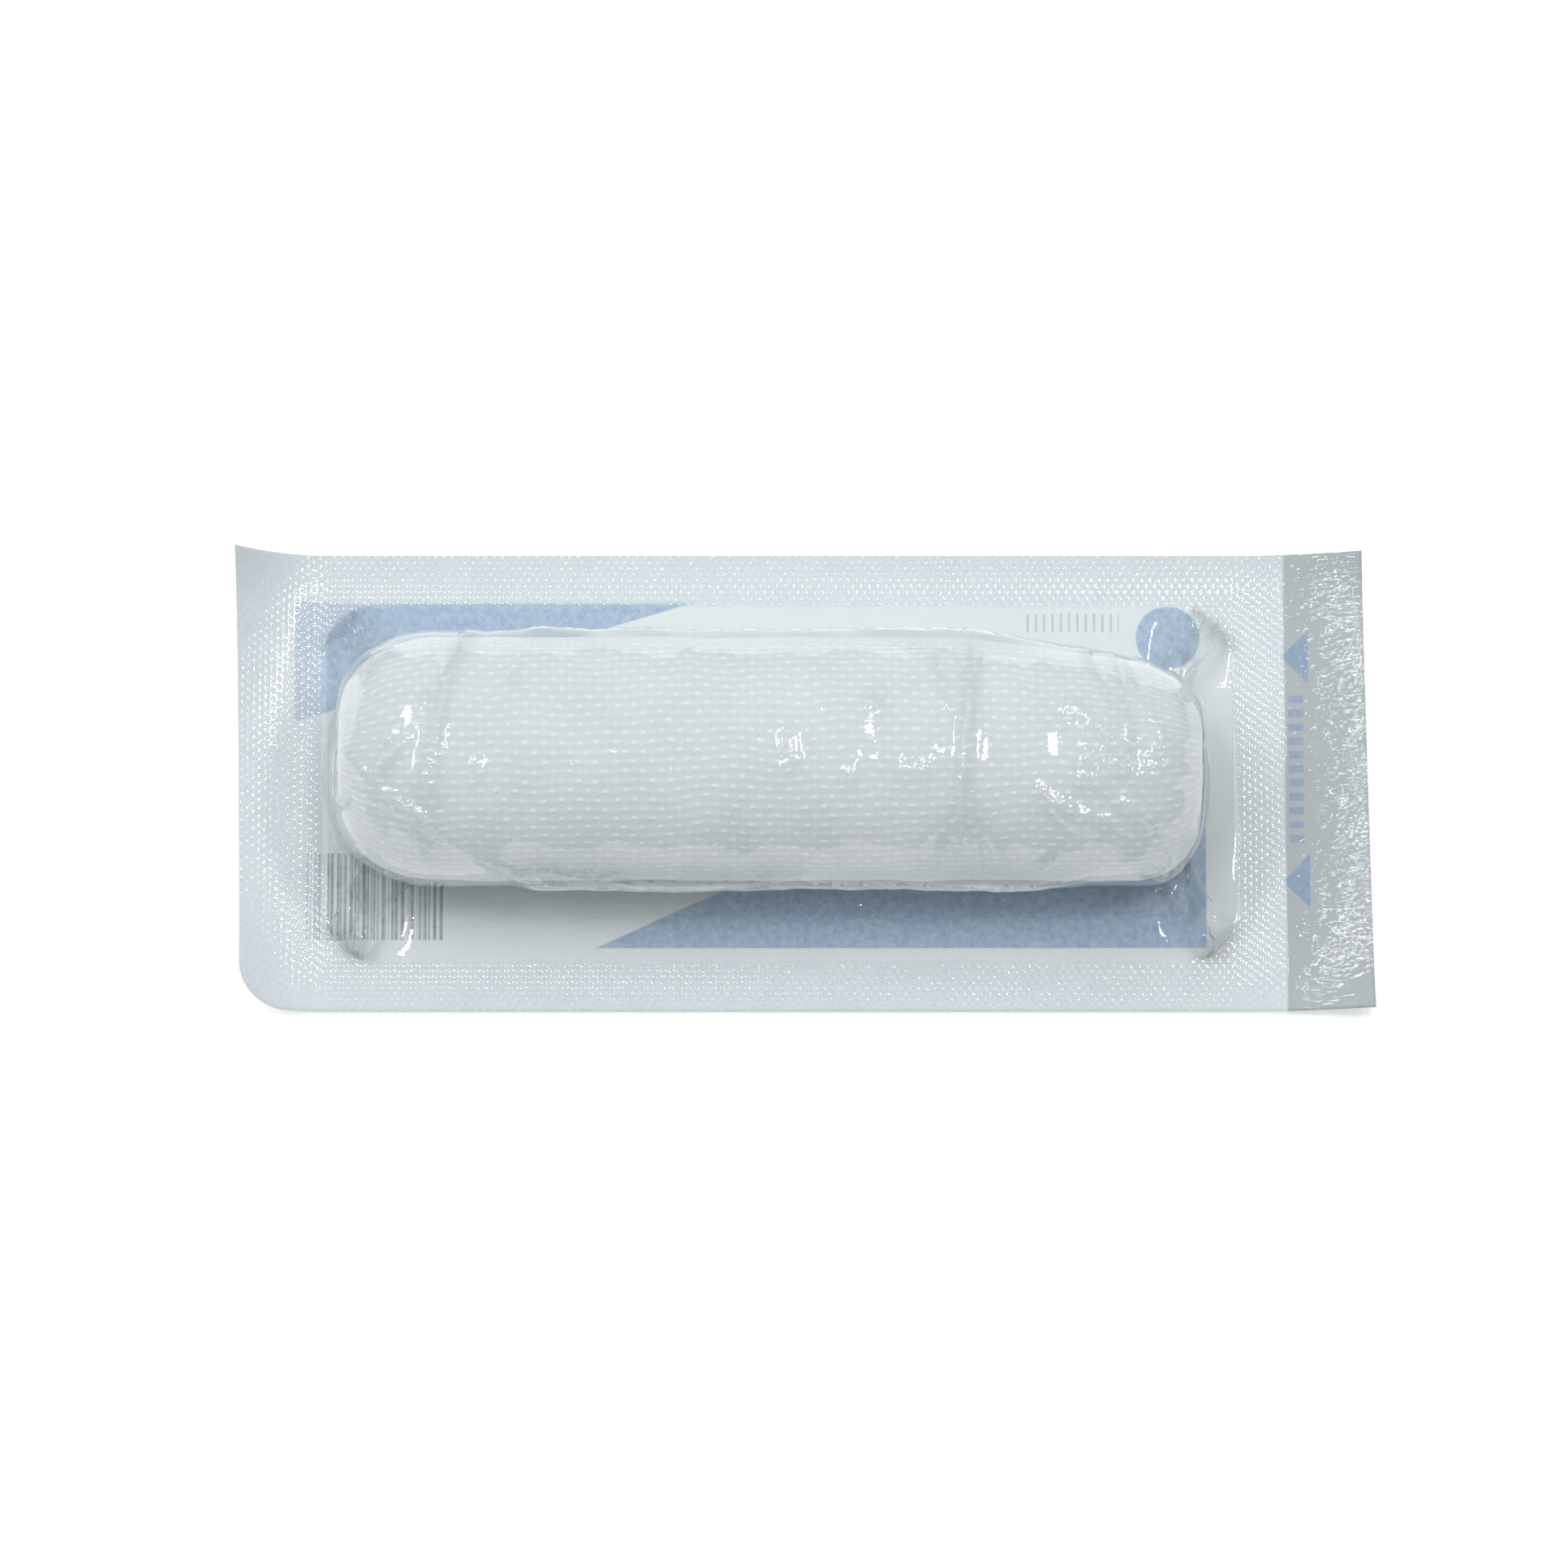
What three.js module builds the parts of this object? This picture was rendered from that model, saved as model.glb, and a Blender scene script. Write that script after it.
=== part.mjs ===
// A conforming gauze bandage, wound into a roll and sealed in a peel pouch.
// The pouch is a clear film formed into a pocket over the roll, on a paper backing.
// Millimetres. +X runs along the pouch to its peel tab, +Z is up, and the backing rests on Z = 0.
import * as THREE from "three";
import { mergeVertices } from "three/addons/utils/BufferGeometryUtils.js";

// The bandage: one gauze strip wound round itself into a slightly flattened roll.
const bandageWidth = 101.6;
const rollWidth = 29.6;
const rollHeight = 27.2;
const coreRadius = 1.9;
const gauzeWall = 1.0;
const turnGap = 0.3;
const rimLength = 8.5;
const rimDepth = 6.2;
const stripEndAngle = THREE.MathUtils.degToRad(52);
const stepsPerTurn = 28;
const ovalPower = 2.15;

// The pouch: room round the roll, then the seals, then the tab that is left open to peel.
const gapAtBackEnd = 2.2;
const gapAtTabEnd = 4.5;
const gapNear = 7.4;
const gapFar = 6.0;
const backEndSeal = 10.6;
const tabEndSeal = 6.4;
const tabLength = 9.8;
const sideSeal = 6.3;
const pocketCorner = 6.0;
const roundedCorner = 5.5;
const cutLean = 0.5;
const paperWall = 0.4;
const filmWall = 0.4;
const layerGap = 0.3;
const filmSlack = 0.35;

// How far the flange curls up from the flat where the pouch rests.
const backEndCurl = 2.2;
const backCornerCurl = 3.4;
const tabCurl = 2.0;
const tabCornerCurl = 1.2;
const sideCurl = 0.7;

// Divisions of every ring: along a long side, along a short side and round a corner.
const alongSide = 26;
const alongEnd = 6;
const roundCorner = 4;
// The flange's rings, as shares of the way from the pouch's edge to the pocket's.
const flangeShares = [0, 0.33, 0.67];

// The film's wall from the pocket's edge (reach 0) to the roll's side (reach 1). A rise of 1
// is the height of the roll's axis. Its third row lies out over the second: the side fold.
const wallRows = [
  { reach: 0.0, rise: 0.0 },
  { reach: 0.14, rise: 0.07 },
  { reach: 0.6, rise: 0.13 },
  { reach: 0.55, rise: 0.36 },
  { reach: 0.82, rise: 0.62 },
  { reach: 0.97, rise: 0.9 },
];
// The film over the roll, by angle above the roll's side.
const coverAngles = [12, 26, 41, 56, 71, 83, 90];
// Folds of the film that run round the roll. They cross its wall from foldReach on. Place and
// half width are shares of the bandage's width, from the back end, and the height is a share of
// the roll's height.
const foldReach = 0.5;
const roundFolds = [
  { at: 0.122, height: 0.028, halfWidth: 0.026 },
  { at: 0.723, height: 0.022, halfWidth: 0.024 },
  { at: 0.88, height: 0.017, halfWidth: 0.034 },
];

const pocketLength = gapAtBackEnd + bandageWidth + gapAtTabEnd;
const pocketWidth = gapNear + rollWidth + gapFar;
const pouchLength = backEndSeal + pocketLength + tabEndSeal + tabLength;
const pouchWidth = pocketWidth + 2 * sideSeal;
const pocketBackX = backEndSeal - pouchLength / 2;
const pocketCentre = new THREE.Vector2(pocketBackX + pocketLength / 2, 0);
const rollCentre = new THREE.Vector2(
  pocketBackX + gapAtBackEnd + bandageWidth / 2,
  (gapNear - gapFar) / 2,
);
const axisHeight = paperWall + layerGap + rollHeight / 2;
const flangeBase = paperWall + layerGap;

// Signed power, which squares an oval off a little.
function signedPower(value, power) {
  return Math.sign(value) * Math.abs(value) ** power;
}

// Unit oval at an angle: x is across the roll, y is up.
function oval(angle) {
  return new THREE.Vector2(
    signedPower(Math.cos(angle), 2 / ovalPower),
    signedPower(Math.sin(angle), 2 / ovalPower),
  );
}

// How much the strip's edge lies in from the roll's end at this share of the roll's radius:
// the rims are rounded over, as a quarter of an oval.
function rimInset(radiusShare) {
  const halfRoll = rollWidth / 2;
  const depth = Math.max(0, radiusShare * halfRoll - halfRoll + rimDepth) / rimDepth;
  return rimLength * (1 - Math.sqrt(Math.max(0, 1 - depth ** 2)));
}

// A rectangle with round corners as one ring of points, the same number for every ring, so
// that two rings can be joined point by point. The corners are tab far, back far, back near,
// tab near. A corner can be drawn out along X by the stretch. The lean slides the far side
// towards the back end and the near side to the tab.
function ring(centre, halfLength, halfWidth, radii, { stretch = 1, lean = 0 } = {}) {
  const [tabFar, backFar, backNear, tabNear] = radii;
  const v = (x, y) => new THREE.Vector2(x, y);
  const a = halfLength;
  const b = halfWidth;
  const arc = (xSide, ySide, radius, quarter) =>
    new THREE.EllipseCurve(
      xSide * (a - radius * stretch),
      ySide * (b - radius),
      radius * stretch,
      radius,
      (quarter * Math.PI) / 2,
      ((quarter + 1) * Math.PI) / 2,
    );
  const stretches = [
    [new THREE.LineCurve(v(a, 0), v(a, b - tabFar)), alongEnd / 2],
    [arc(1, 1, tabFar, 0), roundCorner],
    [new THREE.LineCurve(v(a - tabFar * stretch, b), v(backFar * stretch - a, b)), alongSide],
    [arc(-1, 1, backFar, 1), roundCorner],
    [new THREE.LineCurve(v(-a, b - backFar), v(-a, 0)), alongEnd / 2],
    [new THREE.LineCurve(v(-a, 0), v(-a, backNear - b)), alongEnd / 2],
    [arc(-1, -1, backNear, 2), roundCorner],
    [new THREE.LineCurve(v(backNear * stretch - a, -b), v(a - tabNear * stretch, -b)), alongSide],
    [arc(1, -1, tabNear, 3), roundCorner],
    [new THREE.LineCurve(v(a, tabNear - b), v(a, 0)), alongEnd / 2],
  ];
  return stretches.flatMap(([curve, steps]) =>
    curve
      .getPoints(steps)
      .slice(0, -1)
      .map((p) => v(centre.x + p.x - (lean * p.y) / Math.max(b, 1), centre.y + p.y)),
  );
}

const sameCorners = (radius) => [radius, radius, radius, radius];
const pouchRing = ring(
  new THREE.Vector2(0, 0),
  pouchLength / 2,
  pouchWidth / 2,
  [0, 0, roundedCorner, 0],
  { lean: cutLean },
);
const pocketRing = (grow) =>
  ring(
    pocketCentre,
    pocketLength / 2 + grow,
    pocketWidth / 2 + grow,
    sameCorners(pocketCorner + grow),
  );
const mixRings = (from, to, share) => from.map((p, i) => p.clone().lerp(to[i], share));

// Height of the backing's underside: flat under the pocket, curling up over the flange.
function lift(p) {
  const backShare = Math.max(0, (pocketBackX - p.x) / backEndSeal);
  const tabStart = pocketBackX + pocketLength;
  const tabShare = Math.max(0, (p.x - tabStart) / (tabEndSeal + tabLength));
  const sideShare = Math.max(0, (Math.abs(p.y) - pocketWidth / 2) / sideSeal);
  const towardsSide = Math.abs(p.y) / (pouchWidth / 2);
  return (
    backShare ** 2 * (backEndCurl + backCornerCurl * towardsSide ** 3) +
    tabShare ** 2 * (tabCurl + tabCornerCurl * towardsSide ** 3) +
    sideShare ** 2 * sideCurl
  );
}

// Rings from the pouch's edge in to the pocket's edge, at a height above the underside.
function flangeRings(height) {
  return flangeShares.map((share) =>
    mixRings(pouchRing, pocketRing(0), share).map(
      (p) => new THREE.Vector3(p.x, p.y, lift(p) + height),
    ),
  );
}

// Pushes a point of the film outward from the roll's axis where a round fold crosses it.
function folded(point) {
  const along = (point.x - rollCentre.x) / bandageWidth + 0.5;
  const outward = new THREE.Vector3(0, point.y - rollCentre.y, point.z - axisHeight);
  if (outward.lengthSq() === 0) return point;
  const height = roundFolds.reduce((sum, fold) => {
    const offset = (along - fold.at) / fold.halfWidth;
    return sum + fold.height * rollHeight * Math.exp(-(offset ** 2));
  }, 0);
  return point.addScaledVector(outward.normalize(), height);
}

// The film's rings: flange, wall and the cover over the roll, up to the line along its top.
// offset 0 gives the inner face and offset filmWall the outer face.
function filmRings(offset) {
  const halfRoll = rollWidth / 2 + filmSlack;
  const coverRing = (angle, grow) => {
    const across = oval(angle);
    const inset = rimInset(across.y);
    return ring(
      rollCentre,
      bandageWidth / 2 + filmSlack - inset + grow,
      Math.max(0, halfRoll * across.x + grow),
      sameCorners(Math.min(rimDepth, halfRoll * across.x) * across.x),
      { stretch: rimLength / rimDepth },
    );
  };
  const rollSide = coverRing(0, 0);
  const meanGap = (gapNear + gapFar) / 2;
  const walls = wallRows.map((row, k) => {
    const before = wallRows[Math.max(0, k - 1)];
    const after = wallRows[Math.min(wallRows.length - 1, k + 1)];
    const normal = new THREE.Vector2(
      (after.rise - before.rise) * axisHeight,
      (after.reach - before.reach) * meanGap,
    ).normalize();
    const height = flangeBase + row.rise * (axisHeight - flangeBase) + offset * normal.y;
    return mixRings(pocketRing(0), rollSide, row.reach).map((p, i) => {
      const grown = mixRings(pocketRing(1), coverRing(0, 1), row.reach)[i].sub(p);
      const at = p.clone().addScaledVector(grown, offset * normal.x);
      const point = new THREE.Vector3(at.x, at.y, height);
      return row.reach > foldReach ? folded(point) : point;
    });
  });
  const cover = coverAngles.map((degrees) => {
    const angle = THREE.MathUtils.degToRad(degrees);
    const onTop = degrees === 90;
    const grow = onTop ? 0 : offset * Math.cos(angle);
    const height = axisHeight + (rollHeight / 2 + filmSlack) * oval(angle).y + offset * Math.sin(angle);
    const points = onTop
      ? ring(rollCentre, bandageWidth / 2 - rimLength, 0, sameCorners(0))
      : coverRing(angle, grow);
    return points.map((p) => folded(new THREE.Vector3(p.x, p.y, height)));
  });
  return [...flangeRings(flangeBase + offset), ...walls, ...cover];
}

// The backing's rings: the flange, the pocket's edge and the flat floor's middle line.
function backingRings(height) {
  const middle = ring(pocketCentre, (pocketLength - pocketWidth) / 2, 0, sameCorners(0));
  const flat = (points) => points.map((p) => new THREE.Vector3(p.x, p.y, height));
  return [...flangeRings(height), flat(pocketRing(0)), flat(middle)];
}

// Two triangles for each cell between neighbouring rows of points.
function cells(rows, closed, flip) {
  const found = [];
  for (let k = 0; k + 1 < rows.length; k++) {
    const count = rows[k].length;
    for (let i = 0; i < (closed ? count : count - 1); i++) {
      const j = (i + 1) % count;
      const [a, b, c, d] = [rows[k][i], rows[k][j], rows[k + 1][j], rows[k + 1][i]];
      found.push(...(flip ? [[a, c, b], [a, d, c]] : [[a, b, c], [a, c, d]]));
    }
  }
  return found;
}

// One closed body from its triangles, leaving out those that have no area.
function bodyOf(triangles) {
  const key = (p) => p.toArray().map((n) => n.toFixed(4)).join();
  const kept = triangles.filter((t) => new Set(t.map(key)).size === 3);
  const geometry = new THREE.BufferGeometry().setFromPoints(kept.flat());
  const merged = mergeVertices(geometry, 1e-4);
  merged.computeVertexNormals();
  return merged;
}

// A sheet between two stacks of closed rings that run from its rim in to a middle line.
function ringSheet(upper, lower) {
  return bodyOf([
    ...cells(upper, true, false),
    ...cells(lower, true, true),
    ...cells([lower[0], upper[0]], true, false),
  ]);
}

// The wound strip: each step round the spiral has an outer and an inner edge at both ends.
function woundStrip() {
  const turnPitch = gauzeWall + turnGap;
  const woundDepth = rollWidth / 2 - coreRadius - gauzeWall;
  const steps = Math.round((woundDepth / turnPitch) * stepsPerTurn);
  const outer = [];
  const inner = [];
  const flatten = rollHeight / rollWidth;
  for (let i = 0; i <= steps; i++) {
    const angle = stripEndAngle + ((steps - i) / stepsPerTurn) * 2 * Math.PI;
    const radius = coreRadius + (woundDepth * i) / steps;
    const half = bandageWidth / 2 - rimInset((radius + gauzeWall) / (rollWidth / 2));
    const section = oval(angle);
    const at = (x, r) =>
      new THREE.Vector3(
        rollCentre.x + x,
        rollCentre.y + r * section.x,
        axisHeight + r * flatten * section.y,
      );
    outer.push([at(-half, radius + gauzeWall), at(half, radius + gauzeWall)]);
    inner.push([at(-half, radius), at(half, radius)]);
  }
  const backEdge = [outer.map((row) => row[0]), inner.map((row) => row[0])];
  const tabEdge = [outer.map((row) => row[1]), inner.map((row) => row[1])];
  return bodyOf([
    ...cells(outer, false, false),
    ...cells(inner, false, true),
    ...cells(backEdge, false, false),
    ...cells(tabEdge, false, true),
    ...cells([outer[0], inner[0]], false, true),
    ...cells([outer[steps], inner[steps]], false, false),
  ]);
}

function piece(name, geometry, look) {
  const mesh = new THREE.Mesh(geometry, new THREE.MeshStandardMaterial({ metalness: 0, ...look }));
  mesh.name = name;
  return mesh;
}

const pouch = new THREE.Group();
pouch.add(
  piece("gauze_roll", woundStrip(), { color: 0xf2f4f2, roughness: 0.95 }),
  piece("pouch_film", ringSheet(filmRings(filmWall), filmRings(0)), {
    color: 0xe4eaee,
    roughness: 0.12,
    transparent: true,
    opacity: 0.3,
  }),
  piece("paper_backing", ringSheet(backingRings(paperWall), backingRings(0)), {
    color: 0xd3dade,
    roughness: 0.8,
  }),
);

export default pouch;
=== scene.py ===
"""A conforming gauze bandage, wound into a roll and sealed in a clear peel pouch.

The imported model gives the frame. This file gives the roll its wound turns and weave, settles the
clear film over the roll, prints and curls the paper backing, and sets up the floor, lights and camera.
"""

import math

import bpy
import numpy as np
from bpy.props import FloatProperty, FloatVectorProperty, IntProperty, PointerProperty
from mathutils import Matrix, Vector


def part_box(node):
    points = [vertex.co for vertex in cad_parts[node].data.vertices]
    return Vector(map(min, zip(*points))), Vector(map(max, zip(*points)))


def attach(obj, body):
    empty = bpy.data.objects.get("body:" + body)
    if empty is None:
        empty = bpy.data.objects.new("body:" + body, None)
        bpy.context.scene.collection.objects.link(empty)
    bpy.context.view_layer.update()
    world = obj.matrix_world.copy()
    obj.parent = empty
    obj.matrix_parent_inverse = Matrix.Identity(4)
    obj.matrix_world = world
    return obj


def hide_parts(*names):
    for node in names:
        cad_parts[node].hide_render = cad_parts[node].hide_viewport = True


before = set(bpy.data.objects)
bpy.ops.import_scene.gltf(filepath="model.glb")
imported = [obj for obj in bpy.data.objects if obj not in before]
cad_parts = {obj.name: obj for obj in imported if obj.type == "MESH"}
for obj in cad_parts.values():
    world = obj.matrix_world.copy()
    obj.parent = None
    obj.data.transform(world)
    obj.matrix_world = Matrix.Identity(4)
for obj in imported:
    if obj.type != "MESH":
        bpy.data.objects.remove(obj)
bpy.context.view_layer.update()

bl_info = {
    "name": "Conforming bandage in a peel pouch",
    "version": (1, 0, 0),
    "blender": (4, 5, 0),
    "location": "3D View > Sidebar > Bandage",
    "description": "Builds a wound gauze bandage sealed under clear film on a paper backing",
    "category": "Object",
}

ROLL_LOW, ROLL_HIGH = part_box("gauze_roll")
PAPER_LOW, PAPER_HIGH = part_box("paper_backing")
MM = 0.001


def length(name, text, default):
    """A length in metres, as the sidebar shows it."""
    return FloatProperty(name=name, description=text, default=default, min=0.0, soft_max=0.2,
                         unit="LENGTH", subtype="DISTANCE", precision=5)


def colour(name, text, default):
    """A linear colour, as the sidebar shows it."""
    return FloatVectorProperty(name=name, description=text, default=default, min=0.0, max=1.0,
                               size=3, subtype="COLOR")


class PouchSizes(bpy.types.PropertyGroup):
    """The sizes of the bandage and its pouch."""

    bandage_width: length("Bandage width", "Width of the gauze strip, which is the roll's length",
                          ROLL_HIGH.x - ROLL_LOW.x)
    roll_width: length("Roll width", "The wound roll across the pouch", 0.0294)
    roll_height: length("Roll height", "The wound roll from below to above", 0.0270)
    roll_lift: length("Roll lift", "Height of the roll's underside over the surface", 0.0006)
    core_radius: length("Core radius", "Radius of the open core", 0.0019)
    turn_pitch: length("Turn pitch", "Distance between neighbouring turns of gauze", 0.000314)
    back_rim: FloatVectorProperty(name="Back rim", description="Rounding of the back end: along, across",
                                  size=2, default=(0.0112, 0.0090), unit="LENGTH")
    tab_rim: FloatVectorProperty(name="Tab rim", description="Rounding of the tab's end: along, across",
                                 size=2, default=(0.0080, 0.0072), unit="LENGTH")
    taper_length: length("Taper length", "How far the roll's far side tapers before the tab's end", 0.030)
    taper_depth: length("Taper depth", "How far the roll's far side is drawn in at the tab's end", 0.0046)
    weft_pitch: length("Weft pitch", "Distance between the cross threads of the gauze", 0.00114)
    float_pitch: length("Float pitch", "Distance between the bright floats along one thread", 0.00212)
    back_seal: length("Back end seal", "Seal at the end away from the tab", 0.0106)
    tab_seal: length("Tab end seal", "Seal at the end next to the tab", 0.0064)
    tab_length: length("Tab length", "Open tab that the pouch is peeled by", 0.0098)
    side_seal: length("Side seal", "Seal along the two long sides", 0.0063)
    pocket_corner: length("Pocket corner", "Corner radius of the formed pocket", 0.0060)
    round_corner: length("Rounded corner", "Radius of the pouch's one rounded corner", 0.0055)
    cut_lean: length("Cut lean", "How far the end cuts slide at the sides", 0.0005)
    end_depth: length("End depth", "Depth that the film was formed to at the pocket's ends", 0.0256)
    side_depth: length("Side depth", "Depth that the film was formed to at the pocket's sides", 0.0222)
    pocket_wall: length("Pocket wall", "Width in plan of the formed pocket's steep wall", 0.0042)
    crease: length("Crease", "Height of the film's sharpest creases", 0.00050)
    crease_width: length("Crease width", "Half width of the film's sharp creases", 0.00052)
    paper_wall: length("Paper thickness", "Thickness of the paper backing", 0.00028)
    film_gap: length("Film gap", "Height of the film over what it lies on", 0.00006)
    back_curl: length("Back curl", "Rise of the back end's middle", 0.0022)
    back_corner_curl: length("Back corner curl", "Further rise of the back end's corners", 0.0036)
    tab_curl: length("Tab curl", "Rise of the tab's end", 0.0020)
    tab_corner_curl: length("Tab corner curl", "Further rise of the tab's corners", 0.0012)
    side_curl: length("Side curl", "Rise of the long sides", 0.0007)
    knurl_along: length("Knurl along", "Pitch of the seal's dots along the seal", 0.00101)
    knurl_across: length("Knurl across", "Pitch of the seal's rows of dots", 0.00068)


class PouchColours(bpy.types.PropertyGroup):
    """The colours of the bandage and its pouch."""

    gauze: colour("Gauze", "Threads of the gauze", (0.90, 0.935, 0.945))
    gauze_gap: colour("Gauze gaps", "Gauze between the threads", (0.70, 0.745, 0.75))
    paper: colour("Paper", "The backing's bare paper", (0.80, 0.85, 0.87))
    print_blue: colour("Print", "The backing's printed blue", (0.14, 0.31, 0.58))
    print_dark: colour("Bars", "The backing's dark bars", (0.07, 0.09, 0.18))
    floor: colour("Floor", "The floor", (0.97, 0.97, 0.97))


class PictureSettings(bpy.types.PropertyGroup):
    """Where the picture is taken from."""

    elevation: FloatProperty(name="Elevation", description="Camera's height above the horizon",
                             default=math.radians(79.0), subtype="ANGLE", unit="ROTATION")
    lens: FloatProperty(name="Lens", description="Focal length", default=200.0, unit="CAMERA")
    width: length("Frame width", "Width of the frame at the pouch", 0.188)
    aim: FloatVectorProperty(name="Aim", description="What the frame's middle shows", size=3,
                             default=(-0.0023, 0.0, 0.0), subtype="TRANSLATION", unit="LENGTH")
    pixels: IntProperty(name="Pixels", description="Side of the square picture in pixels", default=1932)


def sizes():
    return bpy.context.scene.pouch_sizes


def colours():
    return bpy.context.scene.pouch_colours


SENSOR = 36.0


class Camera:
    """The picture's camera as sums, so that a crease can be placed where the picture shows it."""

    def __init__(self):
        settings = bpy.context.scene.picture_settings
        self.half = settings.pixels / 2
        self.focal = settings.lens / SENSOR * settings.pixels
        self.distance = settings.lens / SENSOR * settings.width
        self.aim = np.array(settings.aim)
        rise, run = math.sin(settings.elevation), math.cos(settings.elevation)
        self.up = np.array([0.0, rise, run])
        self.back = np.array([0.0, -run, rise])
        self.place = self.aim + self.back * self.distance

    def pixels_of(self, points):
        """Column and row in the picture of points in metres."""
        offset = points - self.aim
        depth = self.distance - offset @ self.back
        column = self.half + offset[..., 0] / depth * self.focal
        row = self.half - (offset @ self.up) / depth * self.focal
        return np.stack([column, row], -1)


class Value:
    """A socket in a sum: an expression on values adds its Math nodes."""

    def __init__(self, tree, socket):
        self.tree = tree
        self.socket = socket

    def __add__(self, other):
        return self.tree.maths("ADD", self, other)

    def __sub__(self, other):
        return self.tree.maths("SUBTRACT", self, other)

    def __mul__(self, other):
        return self.tree.maths("MULTIPLY", self, other)

    def __truediv__(self, other):
        return self.tree.maths("DIVIDE", self, other)

    def __radd__(self, other):
        return self.tree.maths("ADD", other, self)

    def __rsub__(self, other):
        return self.tree.maths("SUBTRACT", other, self)

    def __rmul__(self, other):
        return self.tree.maths("MULTIPLY", other, self)

    def __abs__(self):
        return self.tree.maths("ABSOLUTE", self)

    def __pow__(self, other):
        return self.tree.maths("POWER", self, other)

    def step(self, low, high):
        """0 below low, 1 above high and smooth between."""
        found = self.tree.add("ShaderNodeMapRange", {"interpolation_type": "SMOOTHSTEP"},
                              {0: self, 1: low, 2: high, 3: 0.0, 4: 1.0})
        return Value(self.tree, found.outputs[0])


class Tree:
    """A material's nodes, added one expression at a time."""

    def __init__(self, name):
        self.material = bpy.data.materials.new(name)
        self.material.use_nodes = True
        self.nodes = self.material.node_tree.nodes
        self.links = self.material.node_tree.links
        self.nodes.clear()

    def add(self, kind, settings=None, inputs=None):
        """A node of a kind: its settings are set first, then its sockets get values or links."""
        node = self.nodes.new(kind)
        for key, value in (settings or {}).items():
            setattr(node, key, value)
        for key, value in (inputs or {}).items():
            socket = value.socket if isinstance(value, Value) else value
            if isinstance(socket, bpy.types.NodeSocket):
                self.links.new(socket, node.inputs[key])
            else:
                node.inputs[key].default_value = socket
        return node

    def maths(self, operation, *values):
        node = self.add("ShaderNodeMath", {"operation": operation}, dict(enumerate(values)))
        return Value(self, node.outputs[0])

    def least(self, first, *others):
        for other in others:
            first = self.maths("MINIMUM", first, other)
        return first

    def most(self, first, *others):
        for other in others:
            first = self.maths("MAXIMUM", first, other)
        return first

    def wave(self, value, pitch):
        """A cosine of that pitch, from 0 to 1."""
        return self.maths("COSINE", value * (2 * math.pi / pitch)) * 0.5 + 0.5

    def place(self):
        """The three coordinates of the point on the object, in millimetres."""
        found = self.add("ShaderNodeTexCoord").outputs["Object"]
        split = self.add("ShaderNodeSeparateXYZ", None, {0: found})
        return [Value(self, socket) * 1000.0 for socket in split.outputs]

    def attribute(self, name):
        """The coordinates kept on the mesh under that name."""
        found = self.add("ShaderNodeAttribute", {"attribute_name": name}).outputs["Vector"]
        split = self.add("ShaderNodeSeparateXYZ", None, {0: found})
        return [Value(self, socket) for socket in split.outputs]

    def noise(self, coordinates, scale, detail, roughness=0.5):
        """Noise from 0 to 1, at a scale in features for each unit of the coordinates."""
        vector = self.add("ShaderNodeCombineXYZ", None, dict(enumerate(coordinates))).outputs[0]
        node = self.add("ShaderNodeTexNoise", None, {
            "Vector": vector, "Scale": scale, "Detail": detail, "Roughness": roughness})
        return Value(self, node.outputs[0])

    def blend(self, share, first, second):
        """Two colours mixed by a share."""
        node = self.add("ShaderNodeMix", {"data_type": "RGBA"}, {0: share})
        for index, value in ((6, first), (7, second)):
            if isinstance(value, bpy.types.NodeSocket):
                self.links.new(value, node.inputs[index])
            else:
                node.inputs[index].default_value = (*value, 1.0)
        return node.outputs[2]

    def bump(self, height, distance, strength):
        """A normal bent by a height that counts in units of the distance."""
        inputs = {"Height": height, "Distance": distance, "Strength": strength}
        return self.add("ShaderNodeBump", None, inputs).outputs[0]

    def finish(self, shader):
        self.add("ShaderNodeOutputMaterial", None, {"Surface": shader})
        return self.material


# How each wave of the gentle, fixed unevenness runs: its length in mm along X and Y, and its phase.
WAVES = (
    (37.0, 61.0, 0.4), (-23.0, 29.0, 2.1), (17.0, -41.0, 4.4),
    (-13.0, -19.0, 1.3), (9.1, 12.7, 5.2), (7.3, -8.9, 3.7),
)


def unevenness(x, y, phase):
    """A smooth, repeatable unevenness from about -1 to 1."""
    total = 0.0
    for along, across, start in WAVES:
        total = total + np.sin(2 * math.pi * (x / along + y / across) + start + phase)
    return total / math.sqrt(len(WAVES) * 2)


def grid_faces(rows, columns, first=0):
    """The four corners of every cell of a grid of vertices."""
    index = first + np.arange(rows * columns).reshape(rows, columns)
    corners = (index[:-1, :-1], index[:-1, 1:], index[1:, 1:], index[1:, :-1])
    return np.stack([corner.ravel() for corner in corners], -1)


def sheet_faces(rows, columns):
    """The faces of a closed sheet: its upper layer, its lower layer and the walls round its edge."""
    count = rows * columns
    rim = np.concatenate([
        np.arange(columns), np.arange(2, rows) * columns - 1,
        np.arange(count - 1, count - columns - 1, -1), np.arange(rows - 2, 0, -1) * columns])
    rim = rim[np.sort(np.unique(rim, return_index=True)[1])]
    following = np.roll(rim, -1)
    walls = np.stack([following, rim, rim + count, following + count], -1)
    return np.concatenate([grid_faces(rows, columns), grid_faces(rows, columns, count)[:, ::-1], walls])


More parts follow.
